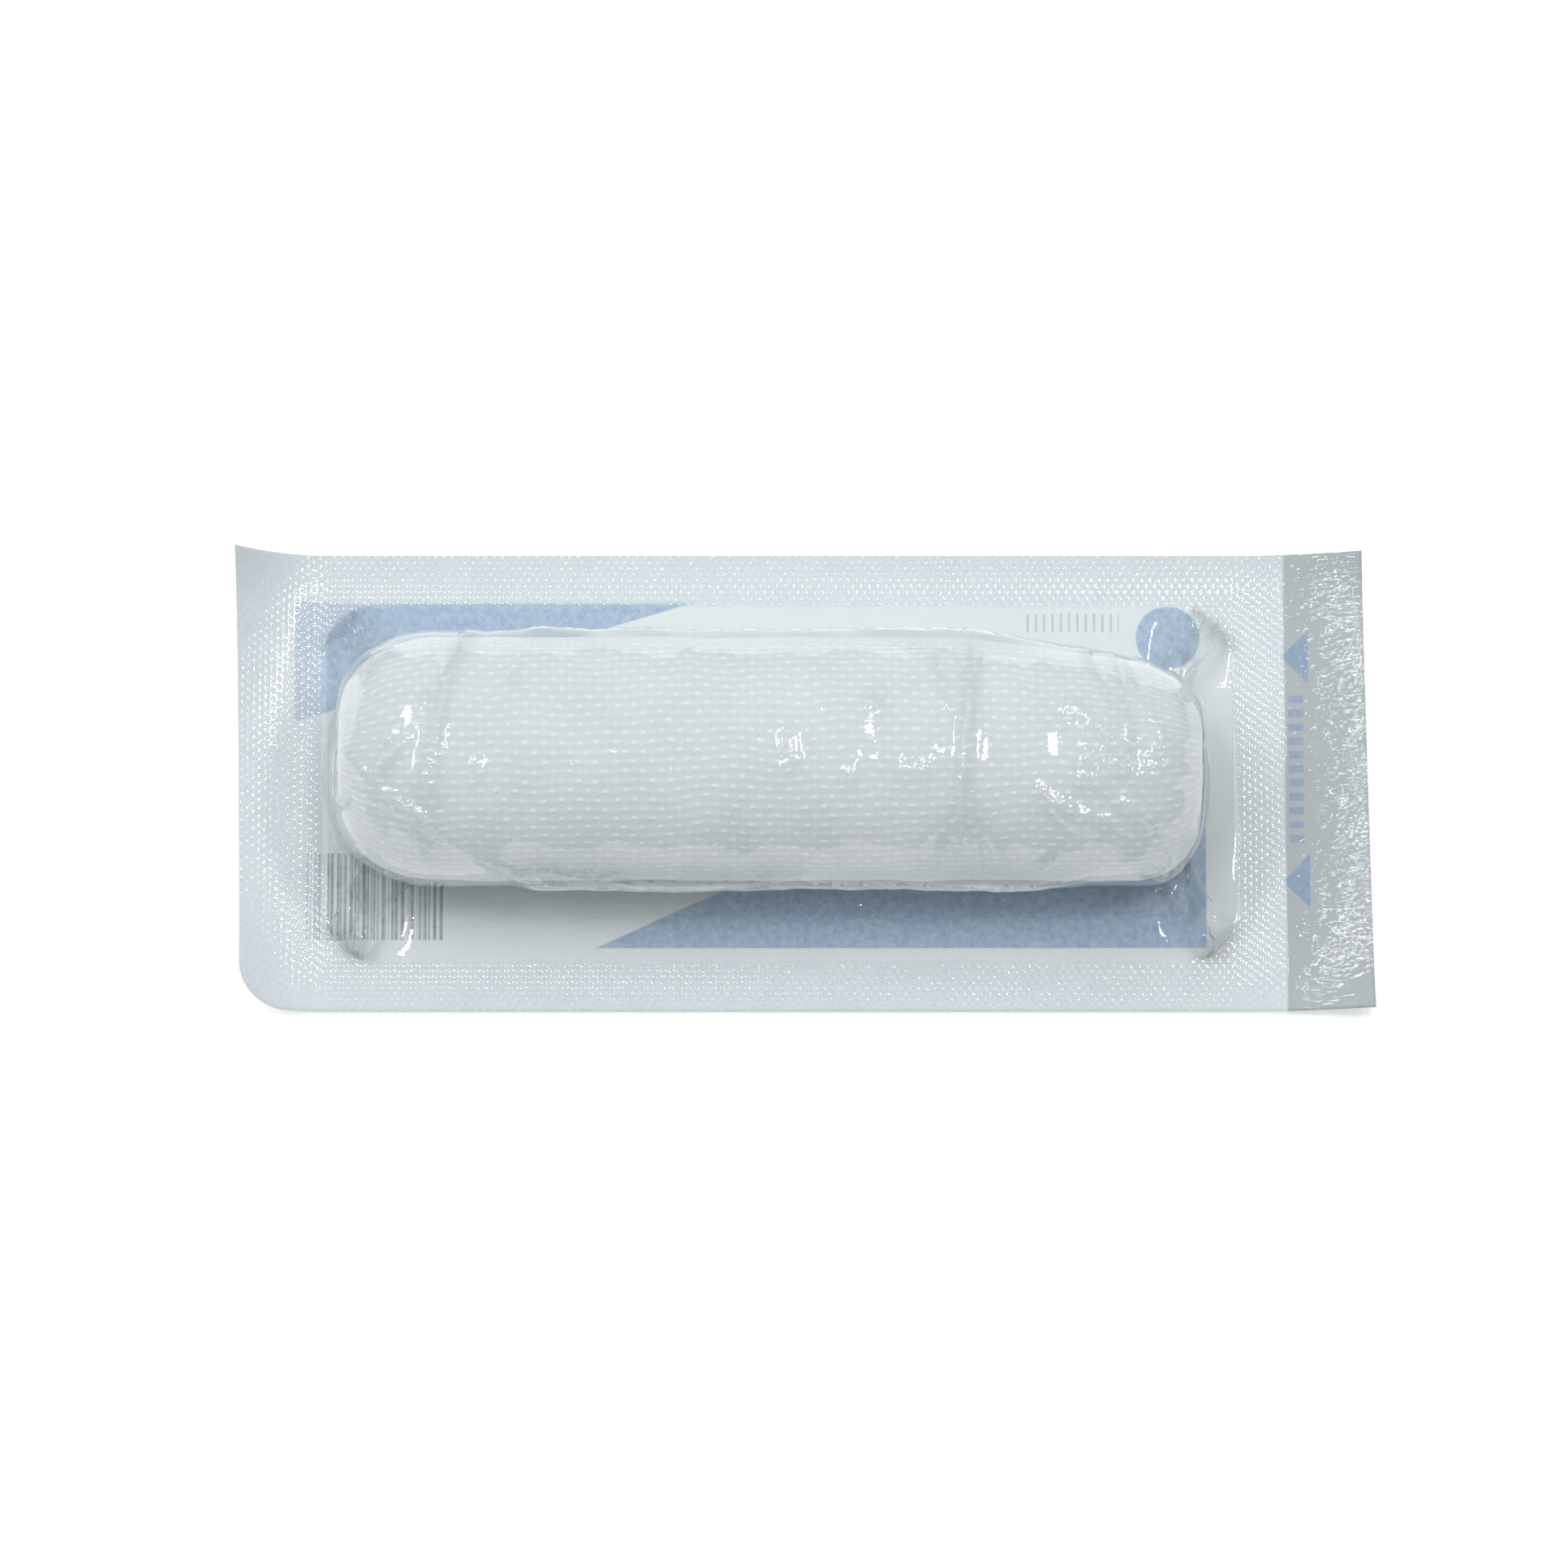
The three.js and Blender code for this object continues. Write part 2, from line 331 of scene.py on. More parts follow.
def new_piece(name, points, faces, node, material, attributes=None):
    """A smooth mesh from points in metres. It rides on the root and stands for its CAD node."""
    if not np.isfinite(points).all():
        raise RuntimeError(f"{name} has points without a place")
    mesh = bpy.data.meshes.new(name)
    mesh.from_pydata(points.reshape(-1, 3).tolist(), [], faces.tolist())
    mesh.update()
    mesh.shade_smooth()
    for key, values in (attributes or {}).items():
        layer = mesh.attributes.new(key, "FLOAT_VECTOR", "POINT")
        layer.data.foreach_set("vector", values.astype(np.float32).ravel())
    piece = bpy.data.objects.new(name, mesh)
    bpy.context.scene.collection.objects.link(piece)
    piece.data.materials.append(material)
    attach(piece, "root")
    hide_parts(node)
    return piece


class Pouch:
    """The pouch's plan, in millimetres, as part of the frame."""

    def __init__(self):
        s = sizes()
        mm = 1 / MM
        self.lean = s.cut_lean * mm
        self.half_length = (PAPER_HIGH.x - PAPER_LOW.x) / 2 * mm - self.lean
        self.half_width = (PAPER_HIGH.y - PAPER_LOW.y) / 2 * mm
        self.back = -self.half_length + s.back_seal * mm
        self.front = self.half_length - (s.tab_seal + s.tab_length) * mm
        self.seal_end = self.half_length - s.tab_length * mm
        self.side = self.half_width - s.side_seal * mm
        self.corner = s.pocket_corner * mm
        self.middle = (self.back + self.front) / 2
        self.round_corner = s.round_corner * mm
        self.curls = [v * mm for v in (s.back_curl, s.back_corner_curl, s.tab_curl, s.tab_corner_curl,
                                       s.side_curl)]
        self.wall = s.paper_wall * mm

    def inside(self, x, y):
        """Distance in from the pocket's edge; it is below 0 outside."""
        half = (self.front - self.back) / 2 - self.corner
        across = np.abs(x - self.middle) - half
        up = np.abs(y) - (self.side - self.corner)
        outer = np.hypot(np.maximum(across, 0), np.maximum(up, 0))
        return self.corner - outer - np.minimum(np.maximum(across, up), 0)

    def lift(self, x, y):
        """Height of the backing's underside: flat below the pocket, curling up outside it."""
        back_curl, back_corner, tab_curl, tab_corner, side_curl = self.curls
        back = np.maximum(0, (self.back - x) / (self.back + self.half_length))
        tab = np.maximum(0, (x - self.front) / (self.half_length - self.front))
        side = np.maximum(0, (np.abs(y) - self.side) / (self.half_width - self.side))
        towards = np.abs(y) / self.half_width
        return (back ** 2 * (back_curl + back_corner * towards ** 3)
                + tab ** 2 * (tab_curl + tab_corner * towards ** 3) + side ** 2 * side_curl)

    def cut(self, x, y):
        """A point of the flat rectangle moved to the pouch's leaning, round-cornered outline."""
        from_corner = np.stack([x + self.half_length, y + self.half_width], -1)
        reach = self.round_corner - from_corner
        away = np.hypot(np.maximum(reach[..., 0], 0), np.maximum(reach[..., 1], 0))
        largest = np.maximum(np.maximum(reach[..., 0], reach[..., 1]), 1e-6)
        squeeze = np.where((reach > 0).all(-1), largest / np.maximum(away, 1e-6), 1.0)
        x = np.where((reach > 0).all(-1), self.round_corner - reach[..., 0] * squeeze
                     - self.half_length, x)
        y = np.where((reach > 0).all(-1), self.round_corner - reach[..., 1] * squeeze
                     - self.half_width, y)
        return x - self.lean * y / self.half_width, y


class Roll:
    """The wound roll's outer form, in millimetres."""

    SQUARENESS = 2.15

    def __init__(self):
        s = sizes()
        mm = 1 / MM
        self.half = s.bandage_width / 2 * mm
        self.across = s.roll_width / 2 * mm
        self.up = s.roll_height / 2 * mm
        self.core = s.core_radius * mm
        self.pitch = s.turn_pitch * mm
        self.back_rim = [v * mm for v in s.back_rim]
        self.tab_rim = [v * mm for v in s.tab_rim]
        self.x = (ROLL_LOW.x + ROLL_HIGH.x) / 2 * mm
        self.y = (ROLL_LOW.y + ROLL_HIGH.y) / 2 * mm
        self.z = s.roll_lift * mm + self.up
        self.taper_length = s.taper_length * mm
        self.taper_share = s.taper_depth / s.roll_width * 2

    def section(self, angle):
        """The squared oval's unit section at an angle."""
        power = 2 / self.SQUARENESS
        across, up = np.cos(angle), np.sin(angle)
        return np.sign(across) * np.abs(across) ** power, np.sign(up) * np.abs(up) ** power

    def rim(self, along):
        """Length and depth of the rounding at the end that a place along the roll is nearer to."""
        return [np.where(along < 0, back, tab) for back, tab in zip(self.back_rim, self.tab_rim)]

    def drawn_in(self, along):
        """How far the rims are drawn in, in millimetres, at a place along the roll."""
        rim_length, rim_depth = self.rim(along)
        over = np.clip((np.abs(along) - self.half + rim_length) / rim_length, 0, 1)
        return rim_depth * (1 - np.sqrt(np.maximum(1 - over ** 2, 0)))

    def side_share(self, along, offset):
        """The share of its width that the roll keeps at a place: its far side tapers to the tab."""
        over = np.clip((along - self.half + self.taper_length) / self.taper_length, 0, 1)
        return np.where(offset > 0, 1 - self.taper_share * over ** 1.3, 1.0)

    def point(self, along, angle, radius):
        """A point of a turn; radius is measured across, in the roll's middle."""
        squeeze = self.drawn_in(along) / (self.across - self.core)
        radius = radius - (radius - self.core) * squeeze
        across, up = self.section(angle)
        return np.stack(np.broadcast_arrays(
            self.x + along,
            self.y + radius * across * self.side_share(along, across),
            self.z + radius * up * self.up / self.across,
        ), -1)

    def push_out(self, points, gap):
        """Moves what is inside the roll out to a gap off it, in place. Returns what touches."""
        across, up, half = self.across + gap, self.up + gap, self.half + gap
        power = self.SQUARENESS
        x, y, z = (points[..., 0] - self.x, points[..., 1] - self.y, points[..., 2] - self.z)
        share = self.side_share(x, y)
        y = y / share
        ratio_y, ratio_z = np.abs(y) / across, np.abs(z) / up
        radius = (ratio_y ** power + ratio_z ** power) ** (1 / power) + 1e-6
        rim_length, rim_depth = self.rim(x)
        depth = rim_depth / across
        end = np.maximum(0, np.abs(x) - half + rim_length) / rim_length
        side = np.maximum(0, radius - 1 + depth) / depth
        form = np.sqrt(end ** 2 + side ** 2)
        inside = (form < 1) & (form > 0.05)
        safe = np.where(inside, form, 1)
        slope = radius ** (1 - power) / depth * side / safe
        push = np.stack([
            end / safe * np.sign(x) / rim_length,
            slope * ratio_y ** (power - 1) * np.sign(y) / across / share,
            slope * ratio_z ** (power - 1) * np.sign(z) / up,
        ], -1)
        size = (push ** 2).sum(-1) + 1e-9
        points += np.where(inside, (1 - form) / size, 0)[..., None] * push
        return inside


# The roll's visible free end lies at this angle above its far side.
STRIP_END = math.radians(40.0)


def wound_turns(roll):
    """The inner turns as one closed strip: its points, its faces and each point's place on it."""
    steps_per_turn = 36
    wall = 0.6 * roll.pitch
    top = roll.across - 2.2 * roll.pitch
    turns = (top - roll.core) / roll.pitch
    steps = int(turns * steps_per_turn)
    share = np.linspace(0, 1, steps + 1)
    angle = STRIP_END + (1 - share) * turns * 2 * math.pi
    radius = roll.core + (top - roll.core) * share
    run = np.concatenate([[0], np.cumsum(np.diff(angle) * -0.96 * (radius[1:] + radius[:-1]) / 2)])
    # Places in from each end, then the fray of the strip's edges, which fades 3 mm in.
    edge = np.array([0.0, 0.35, 1.2, 2.8, 5.4, 9.5])
    along = np.concatenate([-roll.half + edge, roll.half - edge[::-1]])
    fray = 0.16 * np.sin(angle * 7.3) + 0.12 * np.sin(angle * 2.7 + 1.0)
    keep = np.clip(1 - edge / 3.0, 0, 1)
    shift = np.concatenate([keep, -keep[::-1]])
    along = along[None, :] + (fray[:, None] + 0.18) * shift[None, :]
    layers = [roll.point(along, angle[:, None], (radius + rise)[:, None]) for rise in (wall, 0.0)]
    strip = np.stack(np.broadcast_arrays(along, run[:, None], 0.0), -1)
    return np.stack(layers), sheet_faces(*along.shape), np.concatenate([strip, strip])


def outer_turn(roll):
    """The outermost turn as a fine sheet with the relief of its weave."""
    s = sizes()
    weft, floats = s.weft_pitch / MM, s.float_pitch / MM
    seen = np.linspace(-0.25 * math.pi, 1.25 * math.pi, 200)[:-1]
    below = np.linspace(1.25 * math.pi, 1.75 * math.pi, 30)[:-1]
    angle = np.concatenate([seen, below])
    angle = np.sort(np.mod(angle - STRIP_END, 2 * math.pi)) + STRIP_END
    angle = np.append(angle, STRIP_END + 2 * math.pi + math.radians(4.0))
    angle = np.concatenate([[STRIP_END], angle])
    share = (angle - STRIP_END) / (2 * math.pi)
    base = roll.across - 0.15 - roll.pitch * share
    # The strip's free edge is turned down onto the turn below it.
    base[0] -= 0.22
    back, tab = roll.back_rim[0], roll.tab_rim[0]
    edge = np.sin(np.linspace(0, 1, 23)[1:] * math.pi / 2)
    mid = np.linspace(-roll.half + back, roll.half - tab, 200)
    along = np.concatenate([mid[0] - back * edge[::-1], mid, mid[-1] + tab * edge])
    ring = roll.point(0.0, angle, base)
    run = np.concatenate([[0], np.cumsum(np.linalg.norm(np.diff(ring, axis=0), axis=-1))])
    u, v = np.meshgrid(along, run)
    row = v / weft + 0.25 * unevenness(u, v * 0.6, 1.0) + u * 0.012
    line = np.floor(row)
    float_wave = np.cos(2 * math.pi * (u / floats + 0.5 * line + 0.13 * np.sin(line * 2.4)))
    thread = np.cos(2 * math.pi * (row - line - 0.5))
    relief = 0.03 * thread * np.maximum(float_wave, -0.2) + 0.10 * unevenness(u, v, 2.6)
    relief[0] = relief[1]
    points = roll.point(u, angle[:, None], base[:, None] + relief)
    strip = np.stack([u, row * weft, np.zeros_like(u)], -1)
    return points, grid_faces(*u.shape)[:, ::-1], strip


def gauze_material():
    """Soft white gauze: rows of bright floats over a duller ground, with loose fibres."""
    s, c = sizes(), colours()
    weft, floats = s.weft_pitch / MM, s.float_pitch / MM
    tree = Tree("soft_white_gauze")
    u, v, _ = tree.attribute("strip_mm")
    wander = tree.noise((u, v, 0.0), 0.21, 2.0)
    row = v / weft
    line = tree.maths("FLOOR", row)
    place = row - line
    column = u / floats + line * 0.5 + (wander - 0.5) * 0.9
    along_thread = tree.wave(column, 1.0)
    across_thread = tree.wave(place - 0.5, 1.0)
    length_noise = tree.noise((u, line * 3.7, 0.0), 0.55, 1.0)
    threads = along_thread.step(0.62, 0.95) * across_thread.step(0.45, 0.95)
    show = threads * (length_noise.step(0.30, 0.62) * 0.85 + 0.15)
    warp = tree.wave(u, floats / 2)
    fuzz = tree.noise((u * 1.3, v * 1.3, 0.0), 3.2, 3.0, 0.65)
    cloud = tree.noise((u, v, 3.0), 0.12, 1.0)
    lines = tree.noise((u * 0.5, v * 5.0, 7.0), 1.0, 1.0, 0.6)
    # How light each spot is: floats, cross threads, warp, fibres, clouds and fine lines.
    tone = show * 0.95 + across_thread * 0.16 + warp * 0.05 + fuzz * 0.35 + cloud * 0.35 + lines * 0.18
    base = tree.blend(tone.step(0.18, 1.15), tuple(c.gauze_gap), tuple(c.gauze))
    height = show * 0.75 + across_thread * 0.22 + warp * 0.1 + fuzz * 0.35 + lines * 0.15
    normal = tree.bump(height, 0.16 * MM, 0.55)
    shader = tree.add("ShaderNodeBsdfPrincipled", None, {
        "Base Color": base, "Roughness": 0.92, "Normal": normal,
        "Sheen Weight": 0.25, "Sheen Roughness": 0.6, "Specular IOR Level": 0.2})
    return tree.finish(shader.outputs[0])


class POUCH_OT_gauze_roll(bpy.types.Operator):
    """Winds the gauze strip into its roll"""

    bl_idname = "pouch.gauze_roll"
    bl_label = "Gauze roll"

    def execute(self, context):
        roll = Roll()
        layers, faces, strip = wound_turns(roll)
        points, outer_faces, outer_strip = outer_turn(roll)
        every = np.concatenate([layers.reshape(-1, 3), points.reshape(-1, 3)]) * MM
        faces = np.concatenate([faces, outer_faces + layers.size // 3])
        places = np.concatenate([strip.reshape(-1, 3), outer_strip.reshape(-1, 3)])
        piece = new_piece("gauze_strip", every, faces, "gauze_roll", gauze_material(),
                          {"strip_mm": places})
        return {"FINISHED"}


def lines_between(marks):
    """Grid lines from a table of rows: up to this place, in this many steps."""
    found = [np.array([marks[0][0]])]
    for (start, _), (end, steps) in zip(marks, marks[1:]):
        found.append(np.linspace(start, end, steps + 1)[1:])
    return np.concatenate(found)


def pull(first, second, rest, share_first, share_second, pull_share, push_share):
    """Moves two sets of points towards the distance that they had in the formed film."""
    gap = second - first
    span = np.sqrt((gap * gap).sum(-1)) + 1e-6
    error = (span - rest) / span
    error = np.where(error > 0, error * pull_share, error * push_share)
    gap *= error[..., None]
    first += gap * share_first
    second -= gap * share_second


# How far the film stays off the roll's smooth form, in millimetres, so that no thread pierces it.
FILM_OFF_ROLL = 0.42

# The formed pocket's section: 2 would be a round shoulder, and more is squarer.
WALL_POWER = 2.3

# How the film settles: its first height, its steps, and what pulls it on in each step. The pull
# goes along the film's own normal, apart from the share that goes straight down.
START_HEIGHT = 1.2
STEPS_TO_SETTLE = 170
PASSES = 2
SUCTION = 0.03
DOWNWARD = 0.7
SPEED_KEPT = 0.93
SMOOTHING = 8

# Rows and columns of the finished film.
FILM_GRID = (218, 410)

# How deep the film's wide and fine dents are, in millimetres.
DENT = 0.14
FINE_DENT = 0.030


class FilmCloth:
    """A grid of film points with springs to their neighbours, settled step by step."""

    # Each spring: its steps in rows and columns, and how stiffly it pulls when long and pushes
    # when short. The film is so thin that it gathers with hardly any push.
    SPRINGS = (
        (0, 1, 1.0, 0.04), (1, 0, 1.0, 0.04), (1, 1, 0.4, 0.02), (1, -1, 0.4, 0.02),
        (0, 2, 0.0, 0.05), (2, 0, 0.0, 0.05),
    )

    def __init__(self, formed_across, formed_along, free):
        self.points = formed_along.astype(np.float32)
        self.free = free.astype(np.float32)
        self.sets = []
        for rows, columns, pull_share, push_share in self.SPRINGS:
            shapes = [shape for shape, steps in ((formed_across, rows), (formed_along, columns)) if steps]
            for phase in range(2):
                first, second = self.ends(rows, columns, phase)
                spans = [np.linalg.norm(shape[second] - shape[first], axis=-1) for shape in shapes]
                rest = np.mean(spans, axis=0).astype(np.float32)
                a, b = self.free[first], self.free[second]
                total = np.maximum(a + b, 1e-6)
                self.sets.append((first, second, rest, (a / total)[..., None], (b / total)[..., None],
                                  pull_share, push_share))

    def ends(self, rows, columns, phase):
        """Index arrays of the springs that share no point, for one of two phases."""
        height, width = self.points.shape[:2]
        row, column = np.mgrid[0:height - rows, 0:width - abs(columns)]
        if columns < 0:
            column = column - columns
        turn = (row // rows if rows else column // columns) % 2 == phase
        row, column = row[turn], column[turn]
        return (row, column), (row + rows, column + columns)

    def settle(self, steps, collide):
        """Draws the film down step by step onto what the collide function keeps it off."""
        previous = self.points.copy()
        for _ in range(steps):
            slide = np.gradient(self.points, axis=1)
            climb = np.gradient(self.points, axis=0)
            normal = np.cross(slide, climb)
            normal /= np.linalg.norm(normal, axis=-1, keepdims=True) + 1e-6
            normal = normal * (1 - DOWNWARD) + (0, 0, DOWNWARD)
            speed = (self.points - previous) * SPEED_KEPT
            previous = self.points.copy()
            self.points += (speed - normal * SUCTION) * self.free[..., None]
            for _ in range(PASSES):
                for first, second, rest, a, b, pull_share, push_share in self.sets:
                    start, end = self.points[first], self.points[second]
                    pull(start, end, rest, a, b, pull_share, push_share)
                    self.points[first] = start
                    self.points[second] = end
                touching = collide(self.points)
            stick = (touching * self.free)[..., None]
            previous += (self.points - previous) * 0.5 * stick
        return self.points

    def smooth(self, passes, collide):
        """Eases the finest crumples out, where the film is free."""
        free = self.free[1:-1, 1:-1, None]
        for _ in range(passes):
            points = self.points
            near = (points[:-2, 1:-1] + points[2:, 1:-1] + points[1:-1, :-2] + points[1:-1, 2:]) / 4
            points[1:-1, 1:-1] += (near - points[1:-1, 1:-1]) * 0.5 * free
            collide(points)


def finer(grid, rows, columns):
    """The grid again with that many rows and columns, through smooth curves."""
    for axis, count in ((0, rows), (1, columns)):
        grid = np.moveaxis(grid, axis, 0)
        place = np.linspace(0, len(grid) - 1, count)
        base = np.clip(place.astype(int), 0, len(grid) - 2)
        t = (place - base).reshape(-1, *[1] * (grid.ndim - 1))
        near = [grid[np.clip(base + k, 0, len(grid) - 1)] for k in (-1, 0, 1, 2)]
        weights = (
            (-t ** 3 + 2 * t ** 2 - t) / 2, (3 * t ** 3 - 5 * t ** 2 + 2) / 2,
            (-3 * t ** 3 + 4 * t ** 2 + t) / 2, (t ** 3 - t ** 2) / 2)
        grid = np.moveaxis(sum(w * n for w, n in zip(weights, near)), 0, axis)
    return grid


def formed_film(pouch, depth):
    """The film as it was formed, before it settled: flange, steep walls and a flat top."""
    wall = sizes().pocket_wall / MM
    x_lines = lines_between((
        (-pouch.half_length, 0), (pouch.back, 14), (pouch.back + wall, 38),
        (pouch.front - wall, 160), (pouch.front, 38), (pouch.seal_end, 9), (pouch.half_length, 12)))
    y_lines = lines_between((
        (-pouch.half_width, 0), (-pouch.side, 9), (-pouch.side + wall, 38),
        (pouch.side - wall, 56), (pouch.side, 38), (pouch.half_width, 9)))
    x, y = np.meshgrid(x_lines, y_lines)
    inside = pouch.inside(x, y)
    climb = np.clip(inside / wall, 0, 1)
    height = (1 - (1 - climb) ** WALL_POWER) ** (1 / WALL_POWER) * depth / MM
    cut_x, cut_y = pouch.cut(x, y)
    height = height + pouch.lift(cut_x, cut_y) + pouch.wall + sizes().film_gap / MM
    return np.stack([cut_x, cut_y, height], -1), inside


def settled_film(pouch, roll):
    """The formed film drawn down onto the roll and the paper, as a finer grid in millimetres."""
    s = sizes()
    formed_along, inside = formed_film(pouch, s.end_depth)
    formed_across, _ = formed_film(pouch, s.side_depth)
    flat = pouch.wall + s.film_gap / MM
    free = inside > 0.05
    cloth = FilmCloth(formed_across, formed_along, free)
    heights = cloth.points[..., 2]
    heights[free] = (heights[free] - flat) * START_HEIGHT + flat

    def collide(points):
        touching = roll.push_out(points, FILM_OFF_ROLL)
        low = (points[..., 2] < flat) & free
        points[..., 2] = np.where(low, flat, points[..., 2])
        return touching | low

    cloth.settle(STEPS_TO_SETTLE, collide)
    cloth.smooth(SMOOTHING, collide)
    inside = finer(inside[..., None], *FILM_GRID)[..., 0]
    points, rise = creased(finer(cloth.points.astype(float), *FILM_GRID), inside)
    return points, inside, rise


# The film's creases as the picture shows them: how strong, how wide, then the places in pixels.
CREASES = (
    (0.9, 1.6, ((600, 757), (570, 787), (554, 822), (543, 872), (536, 916), (530, 961), (525, 1010),
                (530, 1060))),
    (0.7, 1.0, ((546, 860), (530, 905), (514, 983), (508, 1010))),
    (0.8, 1.0, ((446, 843), (465, 814), (494, 800))),
    (0.9, 1.0, ((489, 892), (477, 912), (486, 924), (470, 950))),
    (1.0, 0.8, ((460, 968), (483, 927), (507, 903))),
    (1.0, 0.8, ((422, 921), (438, 939), (460, 970))),
    (1.0, 0.8, ((462, 971), (503, 994), (521, 1008), (552, 1030))),
    (0.7, 0.8, ((450, 979), (489, 997), (534, 1019))),
    (0.8, 0.8, ((415, 987), (432, 992))),
    (0.8, 0.9, ((486, 1019), (503, 1024), (518, 1039), (532, 1056))),
    (0.6, 0.8, ((437, 1043), (450, 1058))),
    (0.6, 0.8, ((409, 1061), (414, 1080), (424, 1103))),
    (0.6, 1.2, ((585, 932), (590, 955), (577, 970))),
    (1.1, 1.4, ((636, 1079), (683, 1073), (733, 1080), (794, 1086), (900, 1085), (990, 1077))),
    (2.2, 2.6, ((640, 1090), (740, 1098), (940, 1101), (1180, 1096), (1330, 1086))),
    (0.8, 1.2, ((560, 1040), (610, 1066), (660, 1088), (740, 1107))),
    (0.9, 1.3, ((596, 771), (680, 759), (840, 751))),
    (0.8, 1.0, ((640, 778), (720, 768), (800, 764))),
    (0.6, 1.0, ((845, 752), (862, 762), (860, 772))),
    (1.6, 2.2, ((620, 770), (800, 766), (1000, 766), (1150, 770), (1330, 780))),
    (0.7, 2.2, ((1070, 855), (1085, 872))),
    (0.7, 1.6, ((1052, 946), (1046, 966))),
    (0.6, 1.6, ((1120, 930), (1116, 960))),
    (0.6, 1.6, ((1142, 936), (1138, 958))),
    (0.5, 2.0, ((870, 1010), (885, 1040), (930, 1056))),
    (0.5, 2.0, ((965, 900), (975, 935), (960, 955))),
    (1.0, 1.6, ((1196, 780), (1193, 830), (1191, 870), (1188, 930), (1184, 980), (1180, 1075))),
    (0.6, 0.9, ((1192, 960), (1212, 1010), (1240, 1070))),
    (0.6, 0.9, ((1190, 985), (1204, 1030), (1214, 1078))),
    (0.5, 0.9, ((1186, 985), (1170, 1030), (1150, 1076))),
    (0.5, 0.9, ((1188, 940), (1172, 985), (1138, 1040))),
    (0.5, 0.9, ((1212, 800), (1200, 850), (1194, 890))),
    (0.5, 0.9, ((1146, 792), (1160, 840), (1170, 880))),
    (0.8, 2.4, ((1316, 862), (1330, 884))),
    (0.9, 1.0, ((1339, 882), (1369, 905), (1382, 929))),
    (0.9, 1.8, ((1381, 888), (1384, 932))),
    (0.7, 1.0, ((1388, 893), (1399, 912), (1442, 911))),
    (0.7, 0.9, ((1347, 918), (1375, 922))),
    (0.8, 1.3, ((1327, 938), (1358, 938), (1390, 940))),
    (0.8, 1.3, ((1338, 957), (1366, 954), (1394, 948))),
    (0.7, 1.2, ((1321, 950), (1332, 968), (1368, 970))),
    (0.8, 1.2, ((1369, 982), (1397, 1001), (1416, 1006), (1426, 1020))),
    (1.0, 0.9, ((1276, 966), (1297, 992), (1321, 1014), (1366, 1026))),
    (0.9, 0.9, ((1294, 980), (1332, 1001), (1364, 1010), (1406, 1028))),
    (0.7, 0.9, ((1348, 1038), (1362, 1035), (1391, 1046))),
    (0.8, 1.1, ((1411, 930), (1428, 924), (1464, 927))),
    (0.8, 1.1, ((1409, 937), (1425, 946), (1453, 940))),
    (0.8, 1.2, ((1411, 953), (1425, 962), (1453, 964))),
    (0.6, 1.2, ((1444, 850), (1456, 862), (1460, 885))),
    (0.8, 1.0, ((1369, 800), (1384, 862), (1390, 932), (1410, 990), (1438, 1062))),
    (0.6, 1.0, ((1384, 812), (1414, 876), (1440, 915))),
    (0.6, 1.0, ((1330, 790), (1356, 840), (1376, 880))),
    (0.6, 1.0, ((1276, 1066), (1302, 1056))),
    (0.8, 1.1, ((1376, 1054), (1408, 1053))),
    (0.8, 1.1, ((1404, 1073), (1428, 1072))),
    (0.9, 1.1, ((1420, 1092), (1453, 1071), (1478, 1021))),
    (0.7, 1.0, ((1433, 1116), (1458, 1077))),
    (0.6, 1.8, ((1425, 1162), (1446, 1150), (1456, 1164))),
    (0.6, 1.8, ((404, 1150), (418, 1162))),
    (0.6, 2.4, ((625, 834), (640, 838))),
    (0.6, 2.0, ((528, 850), (522, 872))),
)


def distance_along(places, marks):
    """Distance of each place in the picture from a line of marks, and the share along the line."""
    marks = np.array(marks, float)
    steps = np.linalg.norm(np.diff(marks, axis=0), axis=1)
    starts = np.concatenate([[0], np.cumsum(steps)])
    near = np.full(places.shape[:-1], 1e9)
    share = np.zeros_like(near)
    for start, end, step, before in zip(marks, marks[1:], steps, starts):
        along = (end - start) / step
        reach = np.clip((places - start) @ along, 0, step)
        away = np.linalg.norm(places - start - reach[..., None] * along, axis=-1)
        closer = away < near
        near = np.where(closer, away, near)
        share = np.where(closer, (before + reach) / starts[-1], share)
    return near, share


def creased(points, inside):
    """The settled film with its creases, and with the gentle dents that break up its shine."""
    s = sizes()
    camera = Camera()
    normal = np.cross(np.gradient(points, axis=1), np.gradient(points, axis=0))
    normal /= np.linalg.norm(normal, axis=-1, keepdims=True) + 1e-9
    places = camera.pixels_of(points * MM)
    picture = bpy.context.scene.picture_settings
    pixel = picture.width / picture.pixels
    rise = np.zeros(inside.shape)
    for strength, width, marks in CREASES:
        near, share = distance_along(places, marks)
        half = s.crease_width * width / pixel
        taper = np.clip(np.minimum(share, 1 - share) * 5 + 0.25, 0, 1)
        rise += strength * np.exp(-(near / half) ** 1.5) * taper
    seen = np.clip((normal @ camera.back + 0.02) * 5, 0, 1) * np.clip(inside / 1.5, 0, 1)
    rise *= seen
    x, y = points[..., 0], points[..., 1]
    dents = DENT * unevenness(x * 1.3 + y * 0.8, y * 1.7 - x * 0.5, 0.7)
    dents += FINE_DENT * unevenness(x * 4.3 - y * 1.1, y * 3.9 + x * 0.7, 2.9)
    dents *= np.clip(inside / 1.5, 0, 1)
    return points + normal * (rise * s.crease / MM + dents)[..., None], rise


def knurl(tree, along, across):
    """The seal's rows of dots, each row half a dot on from the one before."""
    s = sizes()
    row = across / (s.knurl_across / MM)
    line = tree.maths("FLOOR", row)
    dot = tree.wave(along / (s.knurl_along / MM) + line * 0.5, 1.0)
    return dot * tree.wave(row - line - 0.5, 1.0)


